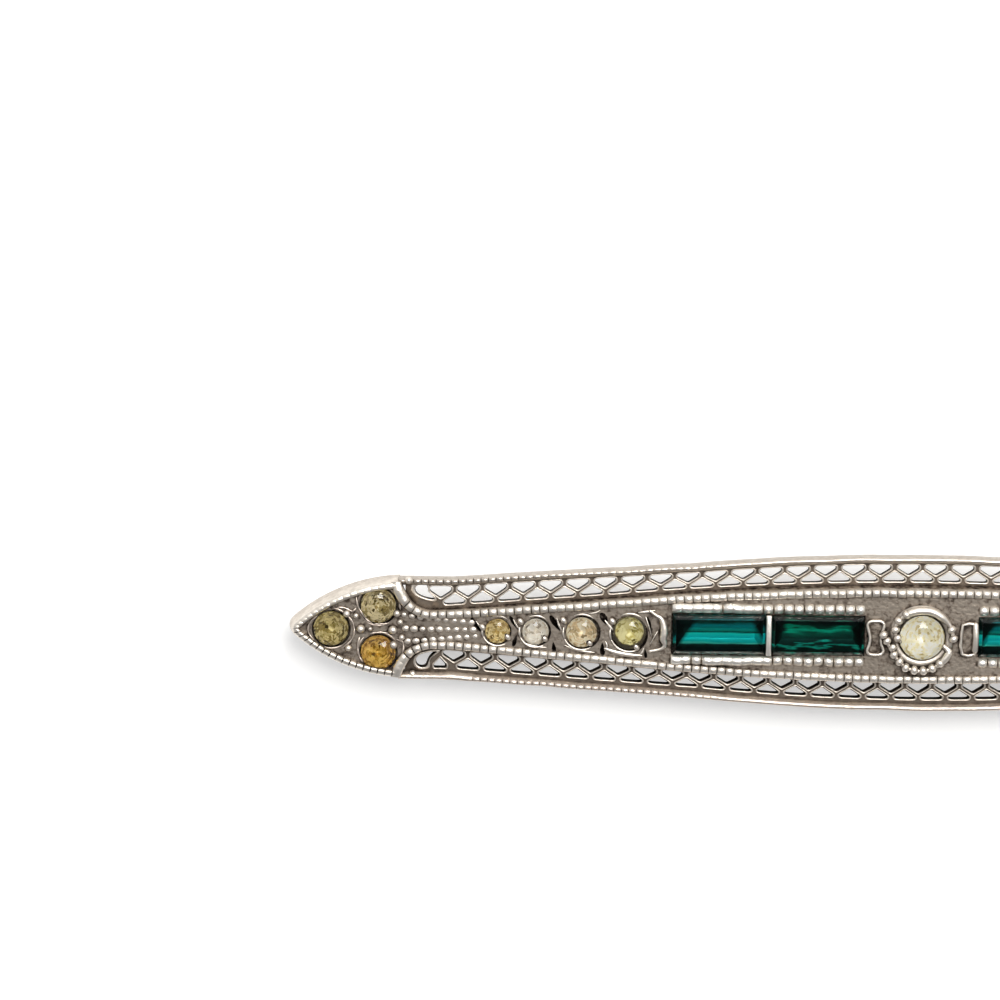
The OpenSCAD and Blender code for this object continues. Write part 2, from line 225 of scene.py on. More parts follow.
def sheet_of(bm, rows, across, place, closed=True):
    """A grid of rows by across cells whose corners are set by place(row, column). A closed one is
    a bar: its long edges meet, and its ends are filled."""
    grid = bmesh.ops.create_grid(bm, x_segments=rows, y_segments=across, size=1)["verts"]
    for vert in grid:
        row = round((vert.co.x + 1) / 2 * rows)
        column = round((vert.co.y + 1) / 2 * across)
        vert.co = place(row, column % across if closed else column)
    if closed:
        bmesh.ops.remove_doubles(bm, verts=grid, dist=0.0005)
        ends = [e for e in bm.edges if e.is_boundary]
        bmesh.ops.holes_fill(bm, edges=ends, sides=0)


def between(x, start, end, low, high):
    """Goes smoothly from low at start to high at end."""
    share = min(1, max(0, (x - start) / (end - start)))
    return low + (high - low) * share * share * (3 - 2 * share)


# One row for each place along one block of a cut crest: share of the pitch, share of the cut's depth.
cut_profile = [(0, 1), (0.035, 0.6), (0.09, 0.1), (0.5, 0), (0.91, 0.1), (0.965, 0.6)]


def cut_bar(bm, blocks, section, place, depth, profile=cut_profile):
    """A bar with a crest that is cut across into blocks. The section's rows are inwards, height and
    share of the cut; place(t, inwards, height) sets a point and depth(t) the cut, t blocks along."""

    def point(row, column):
        share, cut = profile[row % len(profile)]
        t = row // len(profile) + share
        inwards, height, follows = section[column]
        return place(t, inwards, height - follows * cut * depth(t))

    sheet_of(bm, blocks * len(profile), len(section), point)


def uneven(x, seed):
    """A slow random wave between about -1 and 1, for work done by hand."""
    return 1.6 * noise.noise(Vector((x, seed, 0.5)))


back_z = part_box("openwork_frame")[0].z
half_length = cad_high.x / MM
bar_mid = cad_high.y / MM
bar_arc_r = 143
bar_taper = 0.068
bar_taper_x = 13
bar_neck = 3.12
rim_width = 0.5
rim_height = 1.1
rim_end = 31.4
rim_cut_pitch = 0.45
rim_cut_depth = 0.1
rim_metal = white_metal("smooth_cast_white_metal", "cfc6bb", "988d82", "2b221c", 0.72, 0.3, 0.22, 0.34)
rubbed_metal = white_metal("rubbed_cast_white_metal", "f4ece1", "aca196", "2b221c", 0.72, 0.3, 0.22, 0.4)
dulled_metal = white_metal("dulled_cast_white_metal", "dfd2c6", "aa9d92", "2b221c", 0.7, 0.3, 0.35, 0.42)


def bar_y(x):
    """Half width of the bar."""
    x = abs(x)
    arc = bar_mid - bar_arc_r + math.sqrt(bar_arc_r**2 - x**2)
    taper = bar_mid - 0.6 - bar_taper * (x - bar_taper_x)
    return max(bar_neck, arc if x < bar_taper_x + 1 else taper)


def rim_freshness(x, side):
    """How deep the graver cuts still are at x: 1 is crisp, 0 is worn away."""
    if side > 0:
        return 1 - between(x, -27, -21, 0, 0.75) - between(x, -14, -10, 0, 0.2) + between(x, 6, 12, 0, 0.7)
    fresh = between(x, -27.4, -26.6, 0, 0.8)
    return fresh * (1 - between(x, -17, -10, 0, 0.95) + between(x, 6, 12, 0, 0.95))


# One row for each point of the rim's section: inwards from the outer face, height, share of the cut.
rim_section = [
    (0.08, 0.0, 0), (0.01, 0.12, 0), (0.0, 0.4, 0), (0.0, 0.8, 0), (0.02, 0.95, 0.3),
    (0.06, 1.04, 1), (0.12, 1.085, 1), (0.19, 1.09, 1), (0.26, 1.06, 0.9), (0.32, 0.99, 0.4),
    (0.39, 0.88, 0), (0.45, 0.74, 0), (0.5, 0.35, 0), (0.44, 0.06, 0),
]
rim_blocks = round(2 * rim_end / rim_cut_pitch)
for side, name in ((1, "rim_upper"), (-1, "rim_lower")):

    def rim_place(t, inwards, height):
        x = -rim_end + t * 2 * rim_end / rim_blocks
        inwards += 0.02 * uneven(x * 0.5, side)
        lump = between(x, -28.9, -28.2, 0, 1) * between(x, -27.2, -26.6, 1, 0) if side < 0 else 0
        inwards += 0.1 * lump * (inwards - rim_width / 2) / rim_width
        y = side * (bar_y(x) - max(0.004, inwards))
        return Vector((x, y, min(rim_height, height + 0.015 * uneven(x, 5))))

    bm = bmesh.new()
    cut_bar(
        bm,
        rim_blocks,
        rim_section,
        rim_place,
        lambda t: rim_cut_depth * rim_freshness(-rim_end + t * 2 * rim_end / rim_blocks, side),
    )
    add_piece(bm, name, [rim_metal if side > 0 else dulled_metal], sharp=60)

# Nets: thin pierced work between the spine and the rims, cast in one with them.
# Each row of openings is a row of pointed shields above and a row of bells below, half a cell apart.
spine_mid = 2.65
spine_arc_r = 185
spine_taper = 0.08
spine_taper_x = 18.5
spine_neck = 0.93
funnel_x = half_length - 8.7
funnel_r = 2.25
funnel_y = spine_neck + funnel_r
flank = 0.42
net_middle = 0.525
net_top = 0.225
cell_pitch = 1.65
net_cells = 18
end_bell_width = 0.66
# Each opening has a raised lip and then a wall that is dark with tarnish and painted shade: width and rise of
# each step.
edge_steps = [(0.025, 0.05), (0.02, 0.01), (0.025, 0), (0.022, -0.03), (0.008, -0.08)]
lip_metal = white_metal("rubbed_net_lips", "e9e0d5", "a59a8f", "2b221c", 0.75, 0.1, 0.25, 0.36)
# The grooves between the lips and the walls down into the openings are painted nearly black: tarnish, and
# painted shade where the walls fall into shadow.
groove_tarnish_and_shade_metal = white_metal("tarnished_net_grooves", "82776c", "443b34", "0d0a07", 0.06, 0.3, 0.4, 0.45)


def spine_y(x):
    """Half width of the spine, at the middle of its beaded ridge."""
    x = abs(x)
    arc = spine_mid - spine_arc_r + math.sqrt(spine_arc_r**2 - min(x, spine_taper_x) ** 2)
    return max(spine_neck, arc - spine_taper * max(0, x - spine_taper_x))


def curve_through(points, steps):
    """A smooth open line through the points, with steps to each span."""
    points = [Vector(p) for p in points]
    ends = [points[0] * 2 - points[1], *points, points[-1] * 2 - points[-2]]
    line = []
    for a, b, c, d in zip(ends, ends[1:], ends[2:], ends[3:]):
        for i in range(steps):
            t = i / steps
            bend, twist = 2 * a - 5 * b + 4 * c - d, 3 * b - a - 3 * c + d
            line.append((2 * b + (c - a) * t + bend * t**2 + twist * t**3) / 2)
    return [*line, points[-1]]


def mirrored_outline(half):
    """A closed outline from its right half, which starts and ends on the middle line."""
    right = curve_through(half, 2)
    return [*right, *[Vector((-p.x, p.y)) for p in right[-2:0:-1]]]


def add_loop(bm, points, z=0):
    """A closed loop of edges through the points."""
    verts = [bm.verts.new((p[0], p[1], z)) for p in points]
    for a, b in zip(verts, [*verts[1:], verts[0]]):
        bm.edges.new((a, b))
    return verts


def new_verts(result):
    """The vertices that an extrusion made."""
    return [g for g in result["geom"] if isinstance(g, bmesh.types.BMVert)]


# The right half of each opening's edge: across from its middle, and away from its flat side.
shield = mirrored_outline([
    (0, 0), (0.3, 0), (0.53, 0.0), (0.675, 0.05), (0.745, 0.14), (0.755, 0.26), (0.715, 0.355), (0.6, 0.43),
    (0.43, 0.515), (0.27, 0.6), (0.13, 0.68), (0, 0.73),
])
bell = mirrored_outline([
    (0, 0), (0.3, 0), (0.53, 0.0), (0.67, 0.04), (0.745, 0.12), (0.75, 0.235), (0.69, 0.315), (0.56, 0.39),
    (0.4, 0.475), (0.24, 0.565), (0.11, 0.64), (0, 0.68),
])
# The slanting open end of each net beside the leaf, as distances from the middle and heights.
upper_end = [
    (30.62, 2.76), (30.1, 2.82), (29.66, 2.8), (29.54, 2.62), (29.56, 2.4), (29.44, 2.18), (29.2, 2.0),
    (29.12, 1.82), (29.2, 1.68), (29.6, 1.7), (30.1, 1.86), (30.42, 2.02), (30.66, 2.36),
]
lower_end = [
    (30.52, 2.1), (30.46, 1.8), (30.25, 1.58), (29.94, 1.44), (29.5, 1.34), (29.0, 1.3), (28.92, 1.42),
    (29.2, 1.66), (29.44, 1.86), (29.5, 2.08), (29.52, 2.4), (29.8, 2.52), (30.15, 2.52), (30.42, 2.36),
]


def rim_line(x):
    return bar_y(x) - rim_width


def foot_line(x):
    return spine_y(x) + flank


def step_in(bm, panes, width, rise):
    """Draws the panes in by width and up by rise, and keeps their edges evenly rounded."""
    bmesh.ops.inset_individual(bm, faces=panes, thickness=width, depth=rise, use_even_offset=False)
    for pane in panes:
        ring = [vert.co.copy() for vert in pane.verts]
        for before, vert, after in zip([ring[-1], *ring], pane.verts, [*ring[1:], ring[0]]):
            vert.co = vert.co / 2 + (before + after) / 4


for side, name in ((1, "net_upper"), (-1, "net_lower")):
    rim_shape, foot_shape = (shield, bell) if side > 0 else (bell, shield)
    # How far the openings stand out from the rim's line and up from the foot of the spine's wall.
    out, up = (0.087, 0.045) if side > 0 else (-0.1, -0.11)

    def net_rise(x):
        """How tall the openings' edges are at x, against the outlines above."""
        return (rim_line(x) - foot_line(x) + out - up) / 1.03

    openings = []
    for i in range(-net_cells, net_cells):
        middle = (i + 0.5 + 0.012 * uneven(i * 0.9, side)) * cell_pitch
        size = 1 + 0.025 * uneven(i * 0.7, side + 3)
        narrow = end_bell_width if side < 0 and i in (-net_cells, net_cells - 1) else 1
        shape = [Vector((narrow * p.x, p.y)) * size for p in rim_shape]
        rise = net_rise(middle)
        openings.append([(middle + p.x, rim_line(middle + p.x) + out - p.y * rise) for p in shape])
    for i in range(1 - net_cells, net_cells):
        middle = (i + 0.012 * uneven(i * 0.9, side + 9)) * cell_pitch
        size = 1 + 0.025 * uneven(i * 0.7, side + 6)
        shape = [size * p for p in foot_shape]
        rise = net_rise(middle)
        openings.append([(middle + p.x, foot_line(middle + p.x) + up + p.y * rise) for p in shape])
    for end in (-1, 1):
        points = curve_through(upper_end if side > 0 else lower_end, 2)
        openings.append([(end * p.x, p.y) for p in points])
    bm = bmesh.new()
    border = [x / 2 for x in range(-62, 63)]
    outer = add_loop(
        bm,
        [(x, side * (bar_y(x) - rim_width / 2)) for x in border]
        + [(x, side * (spine_y(x) + 0.15 + 0.2 * max(0, abs(x) - funnel_x) ** 2)) for x in reversed(border)],
    )
    holes = [add_loop(bm, [(x, side * y) for x, y in points]) for points in openings]
    bmesh.ops.triangle_fill(bm, edges=bm.edges[:], use_beauty=True)
    bottom = [e for e in bm.edges if e.is_boundary and e.verts[0] in outer and e.verts[1] in outer]
    panes = [bm.faces.new(loop) for loop in holes]
    bmesh.ops.recalc_face_normals(bm, faces=bm.faces)
    if bm.faces[0].normal.z < 0:
        bmesh.ops.reverse_faces(bm, faces=bm.faces)
    bmesh.ops.translate(bm, vec=(0, 0, net_top), verts=bm.verts)
    for face in bm.faces:
        face.material_index = 0 if face in panes else 1
    for width, rise in edge_steps:
        step_in(bm, panes, width, rise)
    # The walls down into the openings get the dark metal with painted shade.
    for pane in panes:
        pane.material_index = 1
    taper, drift = (0.022, (-0.02, 0.015, 0)) if side > 0 else (0.06, (-0.05, 0.03, 0))
    depth = -net_top - sum(rise for width, rise in edge_steps)
    step_in(bm, panes, taper, depth)
    undercut = {v for f in panes for v in f.verts}
    bmesh.ops.translate(bm, vec=drift, verts=list(undercut))
    bmesh.ops.delete(bm, geom=panes, context="FACES_ONLY")
    for vert in new_verts(bmesh.ops.extrude_edge_only(bm, edges=bottom)):
        vert.co.z = 0
    bmesh.ops.mirror(bm, geom=bm.verts[:] + bm.edges[:] + bm.faces[:], axis="Z", merge_dist=0.001)
    bmesh.ops.translate(bm, vec=(0, 0, net_middle), verts=bm.verts)
    add_piece(bm, name, [lip_metal, groove_tarnish_and_shade_metal], sharp=55)

# Spine: the raised middle of the bar, with leaning walls and a sunk top that the stones sit in.
# Its seats and the graver's slanting cuts go down to the floor of the channel.
spine_low = 1.35
spine_high = 1.75
setting_drop = 0.2
channel_floor = 0.45
channel_in = 3.4
channel_out = 15.02
channel_half = 1.24
top_reach = 0.19
overlap = 0.03
stone_nodes = [n for n in frame["nodes"] if n.startswith(("row_stone", "leaf_stone", "centre_stone"))]
field_metal = white_metal(
    "tarnished_cast_white_metal", "aba094", "6a5f56", "1d1511", 0.75, 0.6, 1.2, 0.42, 0.03
)


def ridge_z(x):
    """Height of the beaded ridges above the back."""
    return spine_high - (spine_high - spine_low) * min(1, abs(x) / funnel_x)


def stone_seat(node):
    """Middle and radius of a round stone, in millimetres."""
    low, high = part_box(node)
    return (low + high) / 2 / MM, (high.x - low.x) / 2 / MM


def circle_points(middle, radius, steps=40, z=0, turn=0):
    """Evenly spaced points on a level circle."""
    angles = [turn + math.tau * i / steps for i in range(steps)]
    return [Vector((middle[0] + radius * math.cos(a), middle[1] + radius * math.sin(a), z)) for a in angles]


def spine_outline(past):
    """The spine's outline at a distance past the middle of its ridges."""
    upper = [(x, spine_y(x) + past) for x in (-funnel_x, *[i / 2 for i in range(-58, 59)], funnel_x)]
    return upper + [(x, -y) for x, y in reversed(upper)]


def slot_points(start, end, width):
    """A leaf-shaped slot from start to end, widest near its start."""
    start, end = Vector(start), Vector(end)
    along = end - start
    across = Vector((-along.y, along.x)).normalized() * width / 2
    places = ((0, 0.3), (0.15, 0.85), (0.4, 1), (0.7, 0.6))
    one_side = [start + along * share - across * half for share, half in places]
    other_side = [start + along * share + across * half for share, half in places]
    return [*one_side, end, *reversed(other_side)]


def slab_with_holes(bm, outline, holes, bottom, top):
    """A closed slab between two heights, with holes through it. top(x) is its height at x."""
    add_loop(bm, outline)
    for points in holes:
        add_loop(bm, points)
    bmesh.ops.triangle_fill(bm, edges=bm.edges[:], use_beauty=True)
    bmesh.ops.translate(bm, vec=(0, 0, bottom), verts=bm.verts)
    for vert in new_verts(bmesh.ops.extrude_face_region(bm, geom=bm.faces[:], use_keep_orig=True)):
        vert.co.z = top(vert.co.x)


# The cuts beside the row stones of the left half, from the ridge in towards the next stone.
graver_cuts = [
    ((-27.05, 0.78), (-26.35, -0.2), 0.26),
    ((-24.72, 0.92), (-24.2, 0.05), 0.24),
    ((-24.5, -0.95), (-24.28, -0.2), 0.26),
    ((-22.3, 0.98), (-21.65, 0.0), 0.34),
    ((-22.0, -1.3), (-22.1, -0.6), 0.26),
    ((-19.25, 1.2), (-18.78, 0.35), 0.42),
    ((-19.1, -1.45), (-19.15, -0.6), 0.32),
    ((-16.45, 1.0), (-16.15, -0.1), 0.18),
    ((-16.5, -1.55), (-16.58, -0.95), 0.2),
]
# How far each seat in the row, from the end, is shifted and widened, so that a dark gap shows there.
seat_gaps = {1: (0.03, -0.03, 0.06), 2: (0.06, -0.01, 0.08), 3: (0.1, -0.02, 0.13), 4: (-0.02, -0.12, 0.14)}
holes = []
for node in stone_nodes:
    middle, radius = stone_seat(node)
    if node.startswith("row"):
        across, up, gap = seat_gaps[int(node[-1])]
        across = across if middle.x < 0 else -across
        holes.append(circle_points((middle.x + across, middle.y + up), radius + gap))
    elif node.startswith("centre"):
        holes.append(circle_points(middle, radius + 0.05))
for end in (-1, 1):
    corners = ((channel_in, -1), (channel_out, -1), (channel_out, 1), (channel_in, 1))
    holes.append([(end * x, y * channel_half) for x, y in corners])
    for start, stop, width in graver_cuts:
        holes.append(slot_points((-end * start[0], start[1]), (-end * stop[0], stop[1]), width))
bm = bmesh.new()
top = spine_outline(top_reach)
slab_with_holes(bm, top, holes, channel_floor - overlap, lambda x: ridge_z(x) - setting_drop)
for vert in bm.verts:
    if vert.co.z < channel_floor and abs(vert.co.y) > spine_y(vert.co.x) + 0.15:
        vert.co.y += math.copysign(flank - top_reach, vert.co.y)
bmesh.ops.triangulate(bm, faces=[f for f in bm.faces if len(f.verts) > 4])
add_piece(bm, "spine_body", [field_metal], sharp=45)

bm = bmesh.new()
slab_with_holes(bm, spine_outline(flank), [], 0, lambda x: channel_floor)
add_piece(bm, "spine_back", [field_metal], sharp=35)

# Ridges: the two beaded edges of the spine, which open at each end in a quarter turn to the leaf.
# A graver cut each bar across into square beads; past the middle of each turn the bar is smooth.
turn_end = math.radians(84)
beads_end = math.radians(52)
ridge_pitch = 0.51
ridge_cut_depth = 0.17
hand = random.Random(11)
# The ridge's section in the same way, inwards from its outer side.
ridge_section = [
    (-0.26, -0.6, 0), (-0.25, -0.2, 0.2), (-0.22, -0.08, 0.9), (-0.13, 0.0, 1), (0, 0.03, 1),
    (0.13, 0.0, 1), (0.22, -0.08, 0.9), (0.24, -0.2, 0.2), (0.24, -0.6, 0),
]
ridge_reach = funnel_x + funnel_r * turn_end
ridge_blocks = round(2 * ridge_reach / ridge_pitch)


def ridge_place(distance):
    """Place and heading on the upper ridge, by the distance along it from the middle."""
    sign = math.copysign(1, distance)
    if abs(distance) < funnel_x:
        slope = (spine_y(distance + 0.1) - spine_y(distance - 0.1)) / 0.2
        return Vector((distance, spine_y(distance), ridge_z(distance))), math.atan(slope)
    turn = (abs(distance) - funnel_x) / funnel_r
    across = funnel_x + funnel_r * math.sin(turn)
    return Vector((sign * across, funnel_y - funnel_r * math.cos(turn), spine_low)), sign * turn


def ridge_distance(t):
    return ridge_reach * (2 * t / ridge_blocks - 1)


for side, name in ((1, "ridge_upper"), (-1, "ridge_lower")):

    def ridge_point(t, inwards, height):
        distance = ridge_distance(t)
        place, heading = ridge_place(distance)
        widening = 1 + between(abs(distance), funnel_x + 1.2, funnel_x + 2.4, 0, 0.3)
        flow = 0.02 * uneven(distance * 1.1, side + 2)
        outwards = Vector((-math.sin(heading), math.cos(heading), 0))
        sink = between(abs(distance), funnel_x + 2.7, ridge_reach, 0, 0.14)
        point = place - outwards * (inwards * widening + flow) + Vector((0, 0, height + flow - sink))
        return Vector((point.x, side * point.y, point.z))

    def ridge_cut(t):
        smooth_from = funnel_x + funnel_r * beads_end
        fresh = between(abs(ridge_distance(t)), smooth_from - 0.3, smooth_from + 0.3, 1, 0)
        crisp = between(abs(ridge_distance(t)), 18, 26, 0.6, 1)
        return ridge_cut_depth * fresh * crisp * (0.8 + 0.5 * uneven(t * 0.6, side + 4))

    bm = bmesh.new()
    cut_bar(bm, ridge_blocks, ridge_section, ridge_point, ridge_cut)
    add_piece(bm, name, [rubbed_metal], sharp=70)

# Leaf ends: a pointed lens with leaning walls, a raised border and a sunk field with three seats.
# Its border is cut into blocks like the rims; thin scrolls of metal stand round its stones.
leaf_x = half_length - 7.2
leaf_half = 3.18
leaf_r = 10.5
leaf_tip_r = 0.732
leaf_floor = 0.95
leaf_seat_floor = 0.15
leaf_start = math.radians(3)
leaf_upper_cut = 0.013
leaf_lower_cut = 0.182
leaf_pitch = 0.47


def leaf_point(share, inwards, height):
    """A point of the upper side of the right leaf; share goes from the corner to the tip."""
    radius = leaf_r - inwards
    tip_turn, last_turn = (math.acos((leaf_r - leaf_half) / r) for r in (leaf_r, radius))
    turn = leaf_start + share * (tip_turn - leaf_start) - share**6 * (tip_turn - last_turn)
    point = Vector((leaf_x + radius * math.sin(turn), leaf_half - leaf_r + radius * math.cos(turn), height))
    tip = Vector((half_length - leaf_tip_r, 0, height))
    if (point.x - tip.x) * (leaf_r - leaf_half) > point.y * (tip.x - leaf_x):
        point = tip + (point - tip).normalized() * (leaf_tip_r - inwards)
    return point


# The wall's section in the same way, inwards from its foot.
wall_section = [
    (0.05, 0, 0), (0.0, 0.1, 0), (0.1, 0.6, 0), (0.2, 1.05, 0), (0.26, 1.18, 0), (0.33, 1.24, 0.5),
    (0.42, 1.28, 1), (0.52, 1.29, 1), (0.6, 1.25, 1), (0.64, 1.14, 0.6), (0.66, 0.8, 0),
    (0.65, 0.12, 0), (0.49, 0, 0),
]
leaf_arc = leaf_r * (math.acos((leaf_r - leaf_half) / leaf_r) - leaf_start)
wall_blocks = 2 * round(leaf_arc / leaf_pitch)


def add_wire(bm, path, radius, squash=1, sides=8, ring=False):
    """A round wire along a path, as flat as squash. It has a rounded end at each end of the path,
    or is a ring whose path comes back to its first point."""
    path = [Vector(p) for p in path]
    last = len(path) - 1
    rows = [(i, 1) for i in range(len(path))]
    if not ring:
        rows = [(0, 0.05), (0, 0.6), *rows, (last, 0.6), (last, 0.05)]

    def wire_point(row, column):
        i, size = rows[row]
        at_seam = ring and i in (0, last)
        ahead = path[1] - path[-2] if at_seam else path[min(i + 1, last)] - path[max(i - 1, 0)]
        along = ahead.normalized()
        across = Vector((-along.y, along.x, 0)).normalized()
        cap = 0 if size == 1 else 1 if i else -1
        turn = math.tau * column / sides
        reach = radius(i / last) if callable(radius) else radius
        past = along * cap * reach * math.sqrt(1 - size**2) * 0.8
        outwards = across * math.cos(turn) + Vector((0, 0, squash * math.sin(turn)))
        return path[i] + past + reach * size * outwards

    sheet_of(bm, len(rows) - 1, sides, wire_point)


def add_seat_arcs(bm, node, spans, past, z, steps):
    """Slivers of metal round a stone's seat, at a distance past the stone. Their spans are angles
    in degrees beside a stone of the left half."""
    middle, radius = stone_seat(node)
    for span in spans:
        start, stop = span if middle.x < 0 else (180 - angle for angle in span)
        turns = [math.radians(start + (stop - start) * i / steps) for i in range(steps + 1)]
        ring = radius + past
        path = [(middle.x + ring * math.cos(a), middle.y + ring * math.sin(a), z) for a in turns]
        add_wire(bm, path, lambda t: 0.03 + 0.06 * math.sin(math.pi * t), sides=6)


# The scrolls of the left leaf: their points, as distances from the middle and heights, and their
# half width.
leaf_scrolls = [
    ([(34.5, 0.85), (34.15, 0.35), (34.05, -0.25), (34.3, -0.8), (34.75, -1.2)], 0.055),
    ([(36.3, 0.75), (36.75, 0.3), (36.8, -0.3), (36.4, -0.85)], 0.05),
    ([(35.1, 1.3), (34.6, 1.25), (34.2, 1.05), (33.95, 1.25)], 0.05),
    ([(33.95, 1.95), (33.85, 1.4), (33.6, 0.95), (33.3, 0.55), (33.0, 0.35)], 0.055),
    ([(33.75, -0.55), (33.85, -1.1), (33.75, -1.7), (33.5, -2.1)], 0.055),
    ([(32.9, 0.28), (32.4, 0.3), (32.05, 0.32)], 0.05),
    ([(31.95, 2.5), (31.55, 2.1), (31.35, 1.6), (31.3, 1.2)], 0.06),
    ([(31.5, -0.65), (31.15, -0.8), (31.1, -1.3), (31.3, -1.9), (31.7, -2.4)], 0.06),
    ([(32.0, -0.3), (32.5, -0.22), (33.1, -0.3)], 0.05),
]
for end, name in ((-1, "left"), (1, "right")):

    def wall_place(t, inwards, height):
        share = t / wall_blocks
        point = leaf_point(1 - abs(2 * share - 1), inwards, height + 0.012 * uneven(t * 0.8, 8))
        return Vector((end * point.x, point.y if share <= 0.5 else -point.y, point.z))

    bm = bmesh.new()
    cut_bar(
        bm,
        wall_blocks,
        wall_section,
        wall_place,
        lambda t: leaf_upper_cut if t < wall_blocks / 2 else leaf_lower_cut,
    )
    add_piece(bm, f"leaf_wall_{name}", [rubbed_metal], sharp=60)

    turns = [math.radians(8 * i) for i in range(11)]
    neck = [(funnel_x + funnel_r * math.sin(a), funnel_y - funnel_r * math.cos(a)) for a in turns]
    upper = [*neck, *[leaf_point(i / 14, 0.5, 0).xy for i in range(15)]]
    outline = [(end * x, y) for x, y in upper] + [(end * x, -y) for x, y in reversed(upper[:-1])]
    leaf_seats = []
    bezels = bmesh.new()
    for node in stone_nodes:
        if node.startswith(f"leaf_stone_{name}"):
            middle, radius = stone_seat(node)
            leaf_seats.append(circle_points((middle.x - end * 0.02, middle.y - 0.04), radius + 0.12))
            spans = ((35, 85), (135, 175), (235, 300))
            add_seat_arcs(bezels, node, spans, 0.19, leaf_floor - 0.02, 14)
    for points, radius in leaf_scrolls:
        path = [(end * q.x, q.y, leaf_floor + 0.02) for q in curve_through(points, 3)]
        add_wire(
            bezels, path, lambda t: radius * (0.75 + 1.05 * math.sin(3 * math.pi * t) ** 2), 0.9, sides=6
        )
    add_piece(bezels, f"leaf_scrolls_{name}", [dulled_metal], sharp=70)
    bm = bmesh.new()
    slab_with_holes(
        bm,
        outline,
        leaf_seats,
        leaf_seat_floor - overlap,
        lambda x: between(abs(x), 30.4, 29.4, leaf_floor, spine_low - setting_drop),
    )
    add_piece(bm, f"leaf_field_{name}", [field_metal], sharp=35)
    bm = bmesh.new()
    slab_with_holes(bm, outline, [], 0, lambda x: leaf_seat_floor)
    add_piece(bm, f"leaf_back_{name}", [field_metal], sharp=35)

# Grains: small balls of metal raised beside the stones, which hold them, and the beads of the neck.
# They are cut from the casting and pushed over each stone's edge.
bead_sides = 10
bead_rings = 6


def add_ball(bm, place, radius, squash=(1, 1, 1), turn=0):
    matrix = Matrix.Translation(place) @ Matrix.Rotation(turn, 4, "Z") @ Matrix.Diagonal((*squash, 1))
    bmesh.ops.create_uvsphere(bm, u_segments=bead_sides, v_segments=bead_rings, radius=radius, matrix=matrix)


# One row for each grain of the left leaf: distance from the middle, height across, radius.
leaf_grains = [
    (34.52, 0.92, 0.24), (33.96, 0.8, 0.19), (33.66, 0.0, 0.27), (31.74, -0.05, 0.29),
    (31.5, 0.97, 0.24), (31.7, -0.98, 0.26), (34.4, -1.2, 0.22), (33.1, 0.0, 0.14),
    (31.3, 0.45, 0.2), (31.2, -0.5, 0.2),
]
# One row for each grain of the left row: distance from the middle, height across.
row_grains = [
    (26.34, 0.23), (24.84, -0.34), (24.06, 0.62), (22.62, -0.4), (21.48, 0.72), (19.92, -0.63),
    (18.54, 0.71), (17.1, -0.85),
]
# One row for each bright-cut band beside the row: its points, and half its width.
bright_cuts = [
    ([(19.0, -0.98), (18.4, -1.2), (17.6, -1.36), (16.75, -1.4)], 0.15),
    ([(21.4, -0.82), (20.8, -1.08), (20.1, -1.2), (19.6, -1.25)], 0.07),
    ([(23.9, -0.68), (23.2, -0.92), (22.5, -0.98)], 0.07),
    ([(19.0, 0.75), (18.7, 0.35), (18.45, 0.1)], 0.09),
    ([(21.9, 0.85), (21.75, 0.4), (21.6, 0.1)], 0.07),
    ([(24.5, 0.72), (24.3, 0.35), (24.1, 0.1)], 0.06),
    ([(26.75, 0.6), (26.5, 0.25), (26.35, 0.0)], 0.05),
    ([(20.0, 1.15), (19.6, 1.2), (19.3, 1.35)], 0.06),
    ([(17.0, 1.25), (16.5, 1.3), (16.0, 1.38)], 0.1),
    ([(18.95, -0.55), (18.85, -0.85), (19.0, -1.1)], 0.07),
    ([(16.65, -0.95), (16.75, -1.2), (16.9, -1.35)], 0.07),
]
rib_start = 26.9
rib_spacing = 0.42
rib_spread = math.radians(5.5)
rib_beads = 9
bm = bmesh.new()
for end in (-1, 1):
    for x, y, radius in leaf_grains:
        add_ball(bm, (end * x, y, leaf_floor + 0.08), radius)
    for side in (-1, 0, 1):
        for i in range(rib_beads):
            along = i * ridge_pitch + 0.12 * side
            place = (
                end * (rib_start + along * math.cos(rib_spread)),
                side * (rib_spacing + along * math.sin(rib_spread)) + 0.04,
                between(rib_start + along, 30.2, 31, spine_low - setting_drop - 0.05, leaf_floor - 0.02),
            )
            add_ball(bm, place, 0.26 * hand.uniform(0.8, 1.08), (1, 0.85, 0.45 if side else 0.6))
    for x, y, z in ((30.8, 3.0, 1.0), (30.55, -2.8, 0.85)):
        add_ball(bm, (end * x, y, z), 0.25)
    for x, y in row_grains:
        heading = math.radians(-50) * -end
        add_ball(bm, (end * x, y, ridge_z(x) - 0.14), 0.21, (1.25, 0.85, 0.9), heading)
for node in stone_nodes:
    if node.startswith("row"):
        middle = stone_seat(node)[0]
        arcs_z = ridge_z(middle.x) - setting_drop
        add_seat_arcs(bm, node, ((50, 115), (165, 205), (200, 300)), 0.17, arcs_z, 10)
for end in (-1, 1):
    for points, width in bright_cuts:
        path = [(end * q.x, q.y, ridge_z(q.x) - setting_drop + 0.02) for q in curve_through(points, 4)]
        add_wire(bm, path, lambda t: width * (0.3 + 0.7 * math.sin(math.pi * t)), 0.5)
add_piece(bm, "grains_and_neck_beads", [rubbed_metal], sharp=80)

# Channels: two beaded rails on each side of the middle, which hold two baguettes each.
# The beads are worn together at the outer ends; a plain divider stands between the stones.
rail_y = 1.6
rail_half = 0.35
rail_pitch = 0.62
rail_cut_depth = 0.25
rail_metal = white_metal("rubbed_rail_metal", "fffaf2", "d2c8bc", "3a3028", 0.85, 0.2, 0.2, 0.4)
rail_profile = [(0, 1), (0.06, 0.62), (0.16, 0.24), (0.5, 0), (0.84, 0.24), (0.94, 0.62)]
